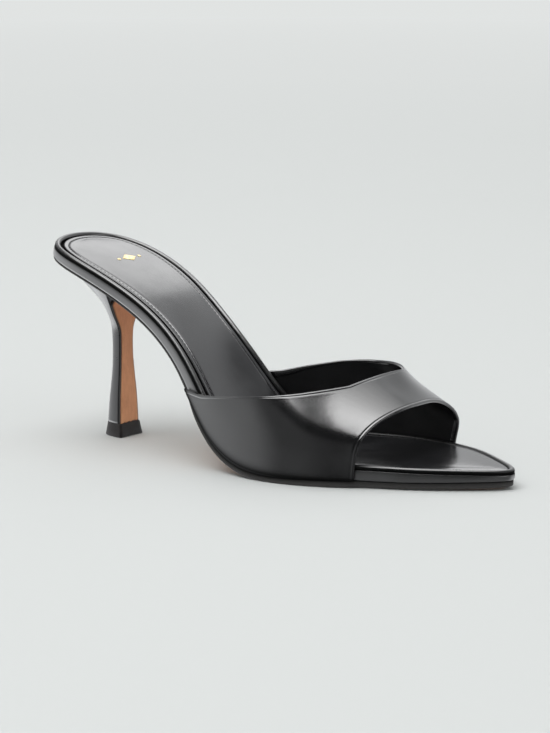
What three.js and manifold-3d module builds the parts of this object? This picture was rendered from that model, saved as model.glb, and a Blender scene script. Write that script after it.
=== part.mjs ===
// High-heeled peep-toe mule, right shoe. Millimetres, +X to the toe, +Y to the medial (big-toe) side, +Z up.
// The tables use the last's own frame: x = 0 at the back of the heel seat. The group is centred at the end.
import * as THREE from "three";
import { mergeVertices } from "three/addons/utils/BufferGeometryUtils.js";
import Module from "manifold-3d";

const wasm = await Module();
wasm.setup();

// ---- driving dimensions -------------------------------------------------------------------------
const LENGTH = 236; // heel back to toe tip, seen from above
const TIP_Y = 10.3; // how far the pointed toe swings to the medial side
const GAP = 0.3; // clearance between neighbouring pieces
const BEAD = { height: 1.38, width: 2.8, recess: 0.9 }; // rolled leather rim round the insole platform
const SOCK = { inset: 3.5, top: 0.75, crown: 0.5, edge: 0.7 };
const UPPER = { wall: 1.6, offset: 2.1, bulge: 2.9 };
const PANEL = { thickness: 1.0, inset: 0.4, shoulder: 61, rise: 5 };
const LIFT = 6.3; // height of the rubber top piece

// Side profile of the rim line: the line just under the bead, from the heel seat to the toe.
const PROFILE = [
  { x: 0, z: 89.0 },
  { x: 25, z: 81.9 },
  { x: 50, z: 72.4 },
  { x: 75, z: 58.7 },
  { x: 95, z: 41.0 },
  { x: 115, z: 18.3 },
  { x: 135, z: 9.0 },
  { x: 155, z: 8.3 },
  { x: 180, z: 8.5 },
  { x: 236, z: 7.4 },
];
// Plan of the platform: half width, and how far its centre line swings towards the medial side.
const PLAN = [
  { x: 8, half: 20.4, swing: 0 },
  { x: 25, half: 26.8, swing: 0 },
  { x: 55, half: 25.3, swing: -2.2 },
  { x: 85, half: 22.9, swing: -7.0 },
  { x: 110, half: 27.6, swing: -7.9 },
  { x: 135, half: 35.8, swing: -3.9 },
  { x: 160, half: 37.6, swing: 0.6 },
  { x: 180, half: 33.3, swing: 5.0 },
  { x: 200, half: 27.3, swing: 7.9 },
  { x: 220, half: 15.9, swing: 9.1 },
];
// Layers under the rim line, square to the profile: all of it, and the outsole alone.
const LAYERS = [
  { x: 30, total: 5.97, sole: 1.2 },
  { x: 90, total: 6.6, sole: 1.4 },
  { x: 115, total: 8.3, sole: 2.2 },
  { x: 140, total: 8.7, sole: 3.0 },
  { x: 172, total: 8.6, sole: 3.0 },
  { x: 200, total: 8.1, sole: 3.0 },
  { x: 236, total: 6.1, sole: 2.6 },
];
// Vamp sections: height of the crest above the sole edge, its swing to the medial side, and the
// height of the topline above the ground on each side.
const VAMP = [
  { x: 94, crest: 54, swing: 4, lateral: 33.8, medial: 33.8 },
  { x: 105, crest: 60, swing: 6, lateral: 32.6, medial: 35.0 },
  { x: 115, crest: 66, swing: 8, lateral: 33.3, medial: 37.6 },
  { x: 130, crest: 69, swing: 12, lateral: 35.0, medial: 40.9 },
  { x: 140, crest: 67, swing: 14, lateral: 36.2, medial: 42.0 },
  { x: 155, crest: 54, swing: 14, lateral: 38.0, medial: 42.8 },
  { x: 168, crest: 42, swing: 6, lateral: 39.9, medial: 42.8 },
  { x: 182, crest: 34, swing: -2, lateral: 50, medial: 50 },
  { x: 198, crest: 26, swing: -8, lateral: 60, medial: 60 },
];
// Exponents of the arch on each side: out is across, up is height.
const ARCH = { lateral: { out: 1.1, up: 0.73 }, medial: { out: 0.88, up: 0.67 } };
// Where the peep edge stands along the shoe, going round the arch from the lateral sole edge.
const PEEP = [
  { turn: 0, x: 182.0 },
  { turn: 30, x: 185.4 },
  { turn: 60, x: 189.9 },
  { turn: 90, x: 191.7 },
  { turn: 120, x: 189.9 },
  { turn: 150, x: 189.4 },
  { turn: 180, x: 186.2 },
];
// Heel sections, bottom to top: half width and place of the flat breast, and the back.
const HEEL = [
  { z: 6.6, half: 6.6, breast: 35.0, back: 24.0 },
  { z: 19, half: 6.0, breast: 34.7, back: 25.2 },
  { z: 28, half: 5.1, breast: 34.4, back: 26.2 },
  { z: 38, half: 4.3, breast: 34.1, back: 26.5 },
  { z: 46, half: 4.3, breast: 34.1, back: 26.3 },
  { z: 50, half: 4.9, breast: 34.1, back: 26.2 },
  { z: 55, half: 7.4, breast: 34.0, back: 26.0 },
  { z: 61, half: 10.6, breast: 34.3, back: 23.8 },
  { z: 67, half: 15.0, breast: 35.9, back: 18.6 },
  { z: 73, half: 19.2, breast: 38.6, back: 11.6 },
  { z: 79, half: 21.6, breast: 41.5, back: 6.4 },
  { z: 90, half: 22.4, breast: 42.5, back: 4.0 },
];
const HEEL_Y = -1.3; // the heel's own centre line

// ---- curves -------------------------------------------------------------------------------------
// Natural cubic through a table's rows; straight beyond its ends.
function spline(rows, from, to) {
  const x = rows.map((r) => r[from]), y = rows.map((r) => r[to]), n = x.length;
  const m = new Array(n).fill(0), c = new Array(n).fill(0), d = new Array(n).fill(0);
  for (let i = 1; i < n - 1; i++) {
    const a = x[i] - x[i - 1], b = x[i + 1] - x[i];
    const r = 6 * ((y[i + 1] - y[i]) / b - (y[i] - y[i - 1]) / a);
    const w = 2 * (a + b) - a * c[i - 1];
    c[i] = b / w;
    d[i] = (r - a * d[i - 1]) / w;
  }
  for (let i = n - 2; i > 0; i--) m[i] = d[i] - c[i] * m[i + 1];
  return (t) => {
    let i = 0;
    while (i < n - 2 && t > x[i + 1]) i++;
    const h = x[i + 1] - x[i], s = THREE.MathUtils.clamp(t, x[0], x[n - 1]);
    const A = (x[i + 1] - s) / h, B = (s - x[i]) / h;
    const slope = t < x[0] ? (y[1] - y[0]) / h - (h / 6) * (2 * m[0] + m[1]) : (y[n - 1] - y[n - 2]) / h + (h / 6) * (m[n - 2] + 2 * m[n - 1]);
    return A * y[i] + B * y[i + 1] + (((A ** 3 - A) * m[i] + (B ** 3 - B) * m[i + 1]) * h * h) / 6 + slope * (t - s);
  };
}
// Straight lines through a table's rows.
function straight(rows, from, to) {
  return (t) => {
    let i = 0;
    while (i < rows.length - 2 && t > rows[i + 1][from]) i++;
    const s = THREE.MathUtils.clamp((t - rows[i][from]) / (rows[i + 1][from] - rows[i][from]), 0, 1);
    return rows[i][to] + s * (rows[i + 1][to] - rows[i][to]);
  };
}
const ends = (rows, first, last) => [first, ...rows, last];
const turnOf = (x) => Math.acos(1 - (2 * x) / LENGTH); // 0 at the heel's back, pi at the tip

const rimZ = spline(PROFILE, "x", "z");
const halfRows = ends(PLAN, { x: 0, half: 0 }, { x: LENGTH, half: 0 }).map((r) => ({ turn: turnOf(r.x), half: r.half }));
const halfAt = spline(halfRows, "turn", "half");
const swingAt = spline(ends(PLAN, { x: 0, swing: 0 }, { x: LENGTH, swing: TIP_Y }), "x", "swing");
const totalAt = straight(LAYERS, "x", "total");
const soleAt = straight(LAYERS, "x", "sole");

// A point depth mm above the rim line, square to the profile.
function onProfile(x, y, depth) {
  const slope = (rimZ(x + 0.05) - rimZ(x - 0.05)) / 0.1, n = Math.hypot(1, slope);
  return new THREE.Vector3(x - (slope / n) * depth, y, rimZ(x) + depth / n);
}
// The station whose layer surface, at this depth, stands at the place x.
function stationAt(x, depth) {
  let s = x;
  for (let k = 0; k < 8; k++) s += x - onProfile(s, 0, depth(s)).x;
  return s;
}
// Plan outline: i runs from the heel's back along the medial side to the tip, and back laterally.
const STATIONS = 44;
function plan(i, inset) {
  const at = (k) => {
    const turn = (Math.PI * (k % (2 * STATIONS))) / STATIONS, medial = turn <= Math.PI;
    const u = medial ? turn : 2 * Math.PI - turn, x = (LENGTH / 2) * (1 - Math.cos(u));
    return new THREE.Vector2(x, swingAt(x) + (medial ? 1 : -1) * halfAt(u));
  };
  const n = 2 * STATIONS, p = at(i), t = at(i + 0.2).sub(at(i + n - 0.2)).normalize();
  return new THREE.Vector2(p.x + t.y * inset, p.y - t.x * inset);
}

// ---- solids -------------------------------------------------------------------------------------
class Skin {
  faces = [];
  quad(a, b, c, d) {
    this.faces.push(a, b, c, a, c, d);
  }
  // Rows of points; each row the same length. closed joins the last point of a row to its first.
  sheet(rows, closed = false) {
    for (let r = 0; r + 1 < rows.length; r++)
      for (let i = 0; i + (closed ? 0 : 1) < rows[r].length; i++) {
        const j = (i + 1) % rows[r].length;
        this.quad(rows[r][i], rows[r][j], rows[r + 1][j], rows[r + 1][i]);
      }
  }
  solid() {
    const flat = new Float32Array(this.faces.flatMap((v) => [v.x, v.y, v.z]));
    const g = mergeVertices(new THREE.BufferGeometry().setAttribute("position", new THREE.BufferAttribute(flat, 3)), 1e-4);
    const made = solidOf(g);
    return made.volume() < 0 ? solidOf(flip(g)) : made;
  }
}
function flip(g) {
  const t = g.index.array;
  for (let i = 0; i < t.length; i += 3) [t[i + 1], t[i + 2]] = [t[i + 2], t[i + 1]];
  return g;
}
function solidOf(g) {
  const tri = [];
  for (let i = 0; i < g.index.count; i += 3) {
    const [a, b, c] = g.index.array.slice(i, i + 3);
    if (a !== b && b !== c && a !== c) tri.push(a, b, c);
  }
  return new wasm.Manifold(new wasm.Mesh({ numProp: 3, vertProperties: g.attributes.position.array, triVerts: new Uint32Array(tri) }));
}
function meshOf(name, solid, material) {
  const m = solid.getMesh(), pos = new Float32Array(m.numVert * 3);
  for (let i = 0; i < m.numVert; i++) pos.set(m.vertProperties.subarray(i * m.numProp, i * m.numProp + 3), 3 * i);
  const g = new THREE.BufferGeometry().setAttribute("position", new THREE.BufferAttribute(pos, 3)).setIndex(new THREE.BufferAttribute(m.triVerts, 1));
  g.computeVertexNormals();
  const mesh = new THREE.Mesh(g, material);
  mesh.name = name;
  return mesh;
}

// A layer of the sole: rings are {inset, depth} from its bottom edge to its top edge. lift(x, y, depth)
// places a point; crown swells the middle of the top.
function layer(rings, place, crown = 0, across = 5) {
  const n = 2 * STATIONS;
  const ring = rings.map(({ inset, depth }) =>
    Array.from({ length: n }, (_, i) => {
      const p = plan(i, typeof inset === "function" ? inset(plan(i, 0).x) : inset);
      return place(p.x, p.y, depth(p.x));
    }),
  );
  const skin = new Skin();
  skin.sheet(ring, true);
  // The caps: each medial point is joined straight across to the lateral point beside it.
  [
    [0, rings[0], 0],
    [rings.length - 1, rings[rings.length - 1], crown],
  ].forEach(([k, { inset, depth }, swell]) => {
    const rows = [];
    for (let i = 0; i <= STATIONS; i++) {
      const a = plan(i, typeof inset === "function" ? inset(plan(i, 0).x) : inset);
      const b = plan((n - i) % n, typeof inset === "function" ? inset(plan((n - i) % n, 0).x) : inset);
      rows.push(
        Array.from({ length: across + 1 }, (_, j) => {
          if (j === 0 || i === 0 || i === STATIONS) return ring[k][i];
          if (j === across) return ring[k][n - i];
          const s = j / across, p = a.clone().lerp(b, s);
          return place(p.x, p.y, depth(p.x) + swell * Math.min(1, a.distanceTo(b) / 30) * 4 * s * (1 - s));
        }),
      );
    }
    if (k) rows.reverse();
    skin.sheet(rows);
  });
  return skin.solid();
}

const bump = (x, from, to, soft) => THREE.MathUtils.smoothstep(x, from - soft, from + soft) * (1 - THREE.MathUtils.smoothstep(x, to - soft, to + soft));
const soleInset = (x) => 0.5 - (UPPER.offset - 0.1) * bump(x, 103, 181, 6); // the welt the vamp stands on
const onGround = (x, y, depth) => {
  const p = onProfile(x, y, depth);
  p.z = Math.max(0, p.z);
  return p;
};

const outsole = layer(
  [
    { inset: (x) => soleInset(x) + 0.5, depth: (x) => -totalAt(x) },
    { inset: soleInset, depth: (x) => -totalAt(x) + 0.6 },
    { inset: soleInset, depth: (x) => -totalAt(x) + soleAt(x) },
  ],
  onGround,
);

const boardBottom = (x) => -totalAt(x) + soleAt(x) + GAP;
const vampFoot = (x) => boardBottom(x) + 0.2;
const platform = layer(
  [
    { inset: 0, depth: boardBottom },
    { inset: 0, depth: () => -0.3 },
    { inset: 0.15, depth: () => 0.7 },
    { inset: BEAD.width * 0.35, depth: () => BEAD.height },
    { inset: BEAD.width * 0.75, depth: () => BEAD.height * 0.75 },
    { inset: BEAD.width, depth: () => -BEAD.recess },
  ],
  onProfile,
  0,
  4,
);

const sock = layer(
  [
    { inset: SOCK.inset, depth: () => -BEAD.recess + GAP },
    { inset: SOCK.inset, depth: () => SOCK.top - SOCK.edge },
    { inset: SOCK.inset + SOCK.edge, depth: () => SOCK.top },
  ],
  onProfile,
  SOCK.crown,
  6,
);

// ---- the vamp -----------------------------------------------------------------------------------
const crestAt = spline(VAMP, "x", "crest"), crestSwing = spline(VAMP, "x", "swing");
const topline = { lateral: straight(VAMP, "x", "lateral"), medial: straight(VAMP, "x", "medial") };
const peepAt = spline(PEEP, "turn", "x");

// The vamp's outer face: turn goes round the arch from the lateral sole edge (0) to the medial one (pi).
function vamp(x, turn) {
  const c = Math.cos(turn), s = Math.sin(turn), side = c < 0 ? 1 : -1, form = c < 0 ? ARCH.medial : ARCH.lateral;
  const station = stationAt(x, vampFoot), foot = onProfile(station, 0, vampFoot(station)).z;
  const out = UPPER.offset + UPPER.bulge * THREE.MathUtils.smoothstep(s, 0, 0.45);
  const reach = halfAt(turnOf(station)) + out - side * crestSwing(x);
  return new THREE.Vector3(
    x,
    swingAt(station) + crestSwing(x) + side * reach * Math.abs(c) ** form.out,
    foot + crestAt(x) * Math.abs(s) ** form.up,
  );
}
// Where the topline crosses the arch at this turn.
function toplineX(turn) {
  const w = (1 - Math.cos(turn)) / 2;
  const over = (x) => vamp(x, turn).z - (1 - w) * topline.lateral(x) - w * topline.medial(x);
  let back = 90, front = 196;
  while (front - back > 1e-4) {
    const mid = (back + front) / 2;
    if (over(mid) > 0) back = mid;
    else front = mid;
  }
  return back;
}
function makeUpper(around, along) {
  // Turns spaced evenly by length round a middle section.
  const fine = Array.from({ length: 801 }, (_, i) => (Math.PI * i) / 800), run = [0];
  for (let i = 1; i < fine.length; i++) run.push(run[i - 1] + vamp(165, fine[i]).distanceTo(vamp(165, fine[i - 1])));
  const turns = Array.from({ length: around + 1 }, (_, j) => fine[Math.max(0, run.findIndex((r) => r >= (run[800] * j) / around - 1e-9))]);
  const outer = turns.map((turn) => {
    const from = toplineX(turn), to = peepAt(THREE.MathUtils.radToDeg(turn));
    return Array.from({ length: along + 1 }, (_, i) => vamp(from + ((to - from) * i) / along, turn));
  });
  const at = (j, i) => outer[THREE.MathUtils.clamp(j, 0, around)][THREE.MathUtils.clamp(i, 0, along)];
  const inner = outer.map((row, j) =>
    row.map((p, i) => {
      const n = at(j + 1, i).clone().sub(at(j - 1, i)).cross(at(j, i + 1).clone().sub(at(j, i - 1))).normalize();
      if (n.dot(new THREE.Vector3(0, p.y - swingAt(p.x), 8)) > 0) n.negate();
      if (j === 0 || j === around) n.setZ(0).normalize();
      return p.clone().addScaledVector(n, UPPER.wall);
    }),
  );
  const skin = new Skin(), rows = (a, b) => a.map((p, i) => [p, b[i]]);
  skin.sheet(outer);
  skin.sheet(inner.map((row) => [...row].reverse()));
  skin.sheet(rows(inner[0], outer[0]).reverse());
  skin.sheet(rows(inner[around], outer[around]));
  skin.sheet(outer.map((row, j) => [inner[j][0], row[0]]));
  skin.sheet(outer.map((row, j) => [row[along], inner[j][along]]));
  return skin.solid();
}
const upper = makeUpper(40, 22);

// ---- the heel -----------------------------------------------------------------------------------
const heelHalf = spline(HEEL, "z", "half"), heelBreast = spline(HEEL, "z", "breast"), heelBack = spline(HEEL, "z", "back");
// A closed D: flat at the front, rounded at the back.
function dSection(z, half, front, back, n = 20) {
  return Array.from({ length: n + 1 }, (_, i) => {
    const a = (Math.PI * i) / n;
    return new THREE.Vector3(front - (front - back) * Math.sin(a) ** 0.9, HEEL_Y + half * Math.sign(Math.cos(a)) * Math.abs(Math.cos(a)) ** 0.9, z);
  });
}
function stack(sections) {
  const skin = new Skin();
  skin.sheet(sections, true);
  [sections[0], sections[sections.length - 1]].forEach((s, k) => {
    const mid = s.reduce((a, p) => a.add(p), new THREE.Vector3()).divideScalar(s.length);
    s.forEach((p, i) => {
      const q = s[(i + 1) % s.length];
      skin.faces.push(mid, ...(k ? [p, q] : [q, p]));
    });
  });
  return skin.solid();
}
const levels = (from, to, n) => Array.from({ length: n + 1 }, (_, i) => from + ((to - from) * i) / n);
// Everything above the underside of the outsole, in the heel's region.
const aboveSeat = stack(
  levels(-12, 60, 24).map((x) => {
    const p = onProfile(x, 0, -totalAt(x) - GAP);
    return [new THREE.Vector3(p.x, -60, p.z), new THREE.Vector3(p.x, 60, p.z), new THREE.Vector3(p.x, 60, 140), new THREE.Vector3(p.x, -60, 140)];
  }),
);
const heel = stack(
  levels(LIFT + GAP, 90, 26).map((z) => dSection(z, heelHalf(z), heelBreast(z) - PANEL.thickness - GAP, heelBack(z))),
).subtract(aboveSeat);

const topPiece = stack([
  dSection(0, 7.2, 35.9, 22.9),
  dSection(0.5, 7.6, 36.2, 22.6),
  dSection(LIFT, 6.7, 35.2, 23.9),
]);

// The natural leather cover on the breast: full width, with an arched top.
const breastCover = stack(
  [...levels(LIFT + GAP, PANEL.shoulder, 18), ...[0.35, 0.6, 0.8, 0.93, 0.99].map((k) => PANEL.shoulder + k * PANEL.rise)].map((z) => {
    const over = Math.max(0, (z - PANEL.shoulder) / PANEL.rise);
    const half = (heelHalf(Math.min(z, PANEL.shoulder)) - PANEL.inset) * Math.sqrt(1 - over ** 2), x = heelBreast(z);
    return [
      new THREE.Vector3(x - PANEL.thickness, HEEL_Y - half, z),
      new THREE.Vector3(x, HEEL_Y - half, z),
      new THREE.Vector3(x, HEEL_Y + half, z),
      new THREE.Vector3(x - PANEL.thickness, HEEL_Y + half, z),
    ];
  }),
);

// ---- assembly -----------------------------------------------------------------------------------
const leather = (color, roughness) => new THREE.MeshStandardMaterial({ color, roughness });
const shoe = new THREE.Group();
shoe.add(
  meshOf("outsole", outsole, leather(0x1c1a1a, 0.6)),
  meshOf("platform", platform, leather(0x3a3a3c, 0.45)),
  meshOf("sock", sock, leather(0x4b4b4d, 0.5)),
  meshOf("upper", upper, leather(0x222224, 0.35)),
  meshOf("heel", heel, leather(0x242424, 0.4)),
  meshOf("breast_cover", breastCover, leather(0xb0754f, 0.6)),
  meshOf("top_piece", topPiece, leather(0x2a2626, 0.8)),
);
// The origin goes to the middle of the box that holds the shoe, on the ground.
const box = new THREE.Box3().setFromObject(shoe), middle = box.getCenter(new THREE.Vector3());
shoe.position.set(-middle.x, -middle.y, 0);

export default shoe;
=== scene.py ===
# %% [markdown]
# # A high-heeled peep-toe mule
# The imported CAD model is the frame: seven closed solids that say where everything is. This lesson rebuilds
# each of them as a smooth, detailed piece of leather or rubber, from the same sizes a shoemaker would use:
# a side profile, a plan, the layers under the foot, the sections of the vamp and the sections of the heel.

import bpy
import numpy as np
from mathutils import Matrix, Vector


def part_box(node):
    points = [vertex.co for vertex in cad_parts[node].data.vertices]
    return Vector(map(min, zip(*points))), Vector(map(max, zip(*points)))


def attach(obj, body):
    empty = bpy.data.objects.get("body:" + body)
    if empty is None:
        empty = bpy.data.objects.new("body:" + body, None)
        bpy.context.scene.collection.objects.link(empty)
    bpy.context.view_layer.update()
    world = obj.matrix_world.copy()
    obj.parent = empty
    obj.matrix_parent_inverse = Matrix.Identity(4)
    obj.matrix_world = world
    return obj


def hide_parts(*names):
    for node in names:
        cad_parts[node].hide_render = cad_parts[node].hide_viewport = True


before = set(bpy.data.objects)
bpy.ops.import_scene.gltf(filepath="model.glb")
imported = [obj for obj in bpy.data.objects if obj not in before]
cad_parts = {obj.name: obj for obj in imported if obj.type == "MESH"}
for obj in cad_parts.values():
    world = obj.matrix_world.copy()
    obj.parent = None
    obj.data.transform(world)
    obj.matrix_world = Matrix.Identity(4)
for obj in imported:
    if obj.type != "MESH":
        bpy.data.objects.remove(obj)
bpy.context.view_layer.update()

# %% [markdown]
# ## The sizes
# Shoemakers draw a last from the back of the heel, in millimetres. The tables below do the same: x is the
# distance from the heel's back, y points to the big-toe side, z is the height above the ground. The packed
# frame has its origin in the middle of the shoe instead, so one known corner, the front of the rubber top
# piece, tells how far the two are apart.

# %% Tables of the last and of the pieces, in millimetres
LENGTH, TIP_Y = 236.0, 10.3
PROFILE = np.array([  # x, height of the rim line under the bead
    (0, 89.0), (25, 81.9), (50, 72.4), (75, 58.7), (95, 41.0), (115, 18.3), (135, 9.0), (155, 8.3),
    (180, 8.5), (236, 7.4)])
PLAN = np.array([  # x, half width, swing of the centre line to the big-toe side
    (8, 20.4, 0), (25, 26.8, 0), (55, 25.3, -2.2), (85, 22.9, -7.0), (110, 27.6, -7.9), (135, 35.8, -3.9),
    (160, 37.6, 0.6), (180, 33.3, 5.0), (200, 27.3, 7.9), (220, 15.9, 9.1)])
LAYERS = np.array([  # x, everything under the rim line, the outsole alone
    (30, 5.97, 1.2), (90, 6.6, 1.4), (115, 8.3, 2.2), (140, 8.7, 3.0), (172, 8.6, 3.0), (200, 8.1, 3.0),
    (236, 6.1, 2.6)])
VAMP = np.array([  # x, crest above the sole edge, its swing, topline height outside and inside
    (94, 54, 4, 33.8, 33.8), (105, 60, 6, 32.6, 35.0), (115, 66, 8, 33.3, 37.6), (130, 69, 12, 35.0, 40.9),
    (140, 67, 14, 36.2, 42.0), (155, 54, 14, 38.0, 42.8), (168, 42, 6, 39.9, 42.8), (182, 34, -2, 50, 50),
    (198, 26, -8, 60, 60)])
PEEP = np.array([  # degrees round the arch from the outer sole edge, x of the peep edge
    (0, 182.0), (30, 185.4), (60, 189.9), (90, 191.7), (120, 189.9), (150, 189.4), (180, 186.2)])
HEEL = np.array([  # z, half width of the breast, its x, x of the back
    (6.6, 6.6, 35.0, 24.0), (19, 6.0, 34.7, 25.2), (28, 5.1, 34.4, 26.2), (38, 4.3, 34.1, 26.5),
    (46, 4.3, 34.1, 26.3), (50, 4.9, 34.1, 26.2), (55, 7.4, 34.0, 26.0), (61, 10.6, 34.3, 23.8),
    (67, 15.0, 35.9, 18.6), (73, 19.2, 38.6, 11.6), (79, 21.6, 41.5, 6.4), (90, 22.4, 42.5, 4.0)])
GAP = 0.3  # between neighbouring pieces
HEEL_Y = -1.3  # middle line of the heel
LIFT = 6.3  # height of the rubber top piece
VAMP_OFFSET, VAMP_BULGE = 2.1, 2.9  # how far the vamp stands outside the plan at its foot, and above it
TIP_FRONT, TIP_HALF = 36.2, 7.6  # front of the top piece, and half its width
top_piece_corner = 1000 * np.array(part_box("top_piece")[1][:2])
SHIFT = np.array([*(top_piece_corner - (TIP_FRONT, HEEL_Y + TIP_HALF)), 0.0])
print("last to frame, mm:", SHIFT.round(3))

# %% [markdown]
# ## Curves
# A natural cubic spline is what a flexible batten makes when it is pinned at a few points, and it is how the
# CAD tables are read, so the same curve is written here for whole arrays at once.

# %% Curve helpers
def spline(x, y):
    """Natural cubic through the points, straight beyond the ends."""
    x, y = np.asarray(x, float), np.asarray(y, float)
    n, h = len(x), np.diff(x)
    system, right = np.eye(n), np.zeros(n)
    for i in range(1, n - 1):
        system[i, i - 1:i + 2] = h[i - 1], 2 * (h[i - 1] + h[i]), h[i]
        right[i] = 6 * ((y[i + 1] - y[i]) / h[i] - (y[i] - y[i - 1]) / h[i - 1])
    m = np.linalg.solve(system, right)

    def at(t):
        t = np.asarray(t, float)
        s = np.clip(t, x[0], x[-1])
        i = np.clip(np.searchsorted(x, s, side="right") - 1, 0, n - 2)
        a, b = (x[i + 1] - s) / h[i], (s - x[i]) / h[i]
        bend = ((a**3 - a) * m[i] + (b**3 - b) * m[i + 1]) * h[i] ** 2 / 6
        first = (y[1] - y[0]) / h[0] - h[0] / 6 * (2 * m[0] + m[1])
        last = (y[-1] - y[-2]) / h[-1] + h[-1] / 6 * (m[-2] + 2 * m[-1])
        return a * y[i] + b * y[i + 1] + bend + np.where(t < x[0], first, last) * (t - s)

    return at


def straight(x, y):
    return lambda t: np.interp(t, x, y)


def smoothstep(t, a, b):
    s = np.clip((np.asarray(t, float) - a) / (b - a), 0, 1)
    return s * s * (3 - 2 * s)


def turn_of(x):
    return np.arccos(np.clip(1 - 2 * np.asarray(x, float) / LENGTH, -1, 1))


rim_z = spline(PROFILE[:, 0], PROFILE[:, 1])
half_at = spline(np.r_[0, turn_of(PLAN[:, 0]), np.pi], np.r_[0, PLAN[:, 1], 0])
swing_at = spline(np.r_[0, PLAN[:, 0], LENGTH], np.r_[0, PLAN[:, 2], TIP_Y])
total_at, sole_at = straight(LAYERS[:, 0], LAYERS[:, 1]), straight(LAYERS[:, 0], LAYERS[:, 2])


def on_profile(x, y, depth):
    """Points a given depth above the rim line, square to the side profile."""
    x, y, depth = np.broadcast_arrays(np.asarray(x, float), y, depth)
    slope = (rim_z(x + 0.05) - rim_z(x - 0.05)) / 0.1
    n = np.hypot(1, slope)
    return np.stack([x - slope / n * depth, y, rim_z(x) + depth / n], -1)


print("heel seat height", round(float(rim_z(5)), 1), "ball width", round(2 * float(half_at(turn_of(157))), 1))


# %% [markdown]
# ## Meshes
# Every piece is a net of rows of points. Rows are joined by quads, doubles are merged, and the normals are
# made to face outward once, on the finished closed shape. Places are turned from the last's millimetres into
# the frame's metres at the very end, so the tables never mix units.

# %% Mesh helpers
def to_frame(points):
    return (np.asarray(points, float).reshape(-1, 3) + SHIFT) / 1000


class Net:
    """Collects points, quads and a few named numbers for each point."""

    def __init__(self):
        self.points, self.faces, self.slots, self.values = [], [], [], {}

    def rows(self, rows, closed=False, slot=0, **values):
        rows = np.asarray(rows, float)
        r, c = rows.shape[:2]
        start = len(self.points)
        self.points.extend(rows.reshape(-1, 3))
        for name, v in values.items():
            self.values.setdefault(name, {})[start] = np.broadcast_to(v, (r, c)).ravel()
        for i in range(r - 1):
            for j in range(c if closed else c - 1):
                k = (j + 1) % c
                near, far = start + i * c, start + (i + 1) * c
                self.faces.append((near + j, near + k, far + k, far + j))
                self.slots.append(slot)
        return self

    def piece(self, name, materials, weld=2e-6):
        mesh = bpy.data.meshes.new(name)
        mesh.from_pydata(to_frame(self.points).tolist(), [], self.faces)
        for key, parts in self.values.items():
            data = np.zeros(len(self.points))
            for start, v in parts.items():
                data[start:start + len(v)] = v
            mesh.attributes.new(key, "FLOAT", "POINT").data.foreach_set("value", data)
        for m in materials:
            mesh.materials.append(m)
        mesh.polygons.foreach_set("material_index", self.slots)
        obj = bpy.data.objects.new(name, mesh)
        bpy.context.scene.collection.objects.link(obj)
        tidy_mesh(obj, weld)
        return obj


def tidy_mesh(obj, weld):
    """Merges doubles, drops flat faces, turns normals outward and shades the piece smooth."""
    import bmesh

    bm = bmesh.new()
    bm.from_mesh(obj.data)
    bmesh.ops.remove_doubles(bm, verts=bm.verts, dist=weld)
    bmesh.ops.dissolve_degenerate(bm, edges=bm.edges, dist=weld)
    bmesh.ops.recalc_face_normals(bm, faces=bm.faces)
    if bm.calc_volume(signed=True) < 0:
        bmesh.ops.reverse_faces(bm, faces=bm.faces)
    open_edges = sum(not e.is_manifold for e in bm.edges)
    volume = bm.calc_volume() * 1e6
    bm.to_mesh(obj.data)
    bm.free()
    obj.data.polygons.foreach_set("use_smooth", [True] * len(obj.data.polygons))
    obj.data.update()
    print(f"{obj.name}: {len(obj.data.polygons)} faces, {volume:.2f} cm3, {open_edges} open edges")


# %% [markdown]
# ## The plan and its insets
# Every layer under the foot repeats the same outline, set in by a few millimetres. At the pointed tip the
# two sides of an inset line would cross, so they are cut where they meet. Both sides are then divided into
# the same number of steps, which lets one ring join the next with plain quads.

# %% Outline rings
AROUND = 150  # steps on each side, heel to toe


def side_curve(side, inset, count=1600):
    u = np.linspace(0, np.pi, count)
    x = LENGTH / 2 * (1 - np.cos(u))
    p = np.stack([x, swing_at(x) + side * half_at(u)], -1)
    t = np.gradient(p, axis=0)
    t[0], t[-1] = (0, side), (0, -side)
    t /= np.linalg.norm(t, axis=1)[:, None]
    d = np.asarray(inset(p[:, 0]) if callable(inset) else np.full(count, float(inset)))
    return p + np.stack([t[:, 1], -t[:, 0]], -1) * (side * d)[:, None]


def outline(inset):
    """A closed ring of plan points: heel back, along the big-toe side, tip, and back along the outside."""
    sides = [side_curve(+1, inset), side_curve(-1, inset)]
    xs = np.linspace(150, LENGTH + 3, 1500)
    gap = np.interp(xs, sides[0][:, 0], sides[0][:, 1]) - np.interp(xs, sides[1][:, 0], sides[1][:, 1])
    out = [i for i in range(len(xs)) if gap[i] <= 0 and xs[i] > 200]
    crossed = out and xs[out[0]] < min(s[:, 0].max() for s in sides)
    tip_x = xs[out[0]] if crossed else min(s[-1, 0] for s in sides)
    rings = []
    for s in sides:
        keep = s[s[:, 0] < tip_x - 0.02]
        tip = np.array([tip_x, np.interp(tip_x, s[:, 0], s[:, 1])])
        keep = np.vstack([keep, tip])
        run = np.r_[0, np.cumsum(np.linalg.norm(np.diff(keep, axis=0), axis=1))]
        even = np.linspace(0, 1, AROUND + 1)
        share = (1 - np.cos(np.pi * even)) / 2 * 0.35 + even * 0.65  # closer together at both ends
        rings.append(np.stack([np.interp(share * run[-1], run, keep[:, k]) for k in (0, 1)], -1))
    tip = (rings[0][-1] + rings[1][-1]) / 2
    heel = (rings[0][0] + rings[1][0]) / 2
    return np.vstack([heel, rings[0][1:-1], tip, rings[1][1:-1][::-1]])


def ring(inset, depth, place=on_profile):
    p = outline(inset)
    return place(p[:, 0], p[:, 1], depth(p[:, 0]) if callable(depth) else depth)


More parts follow.
